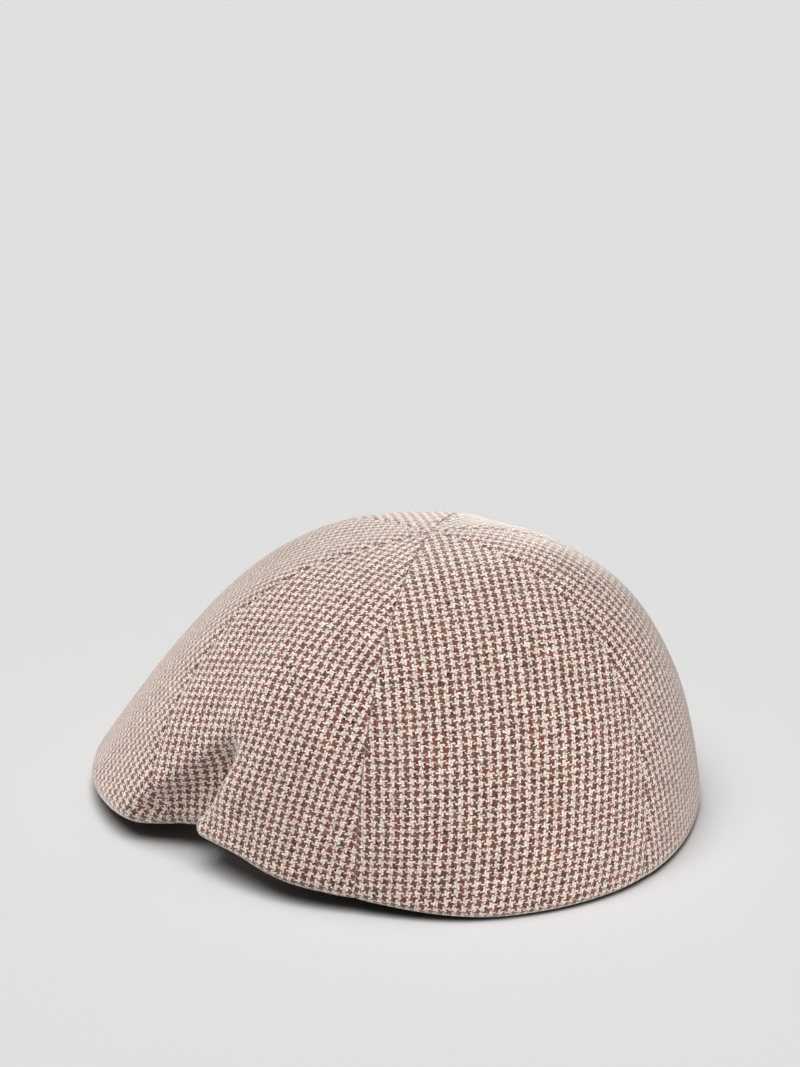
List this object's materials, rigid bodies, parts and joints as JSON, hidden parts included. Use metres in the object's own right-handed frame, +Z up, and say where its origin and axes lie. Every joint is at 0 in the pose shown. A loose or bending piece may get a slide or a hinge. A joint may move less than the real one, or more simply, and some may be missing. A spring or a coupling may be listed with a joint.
{
  "type": "flat cap",
  "caption": "Rounded flat cap in small houndstooth cloth, its panels meeting in one point on top and its front running down over a stiff peak.",
  "frame": {"origin": "on the surface the cap rests on, under the middle of its length and width", "axes": "+Z up, peak towards -Y, the wearer's left at +X"},
  "size_m": [0.2182, 0.2639, 0.1232],
  "materials": {
    "cloth": "matte woven houndstooth",
    "peak_cloth": "matte woven houndstooth over board"
  },
  "bodies": {
    "root": {"panel_front": "cloth", "panel_front_left": "cloth", "panel_front_right": "cloth", "panel_back_left": "cloth", "panel_back_right": "cloth", "panel_back": "cloth", "peak": "peak_cloth"}
  },
  "joints": []
}
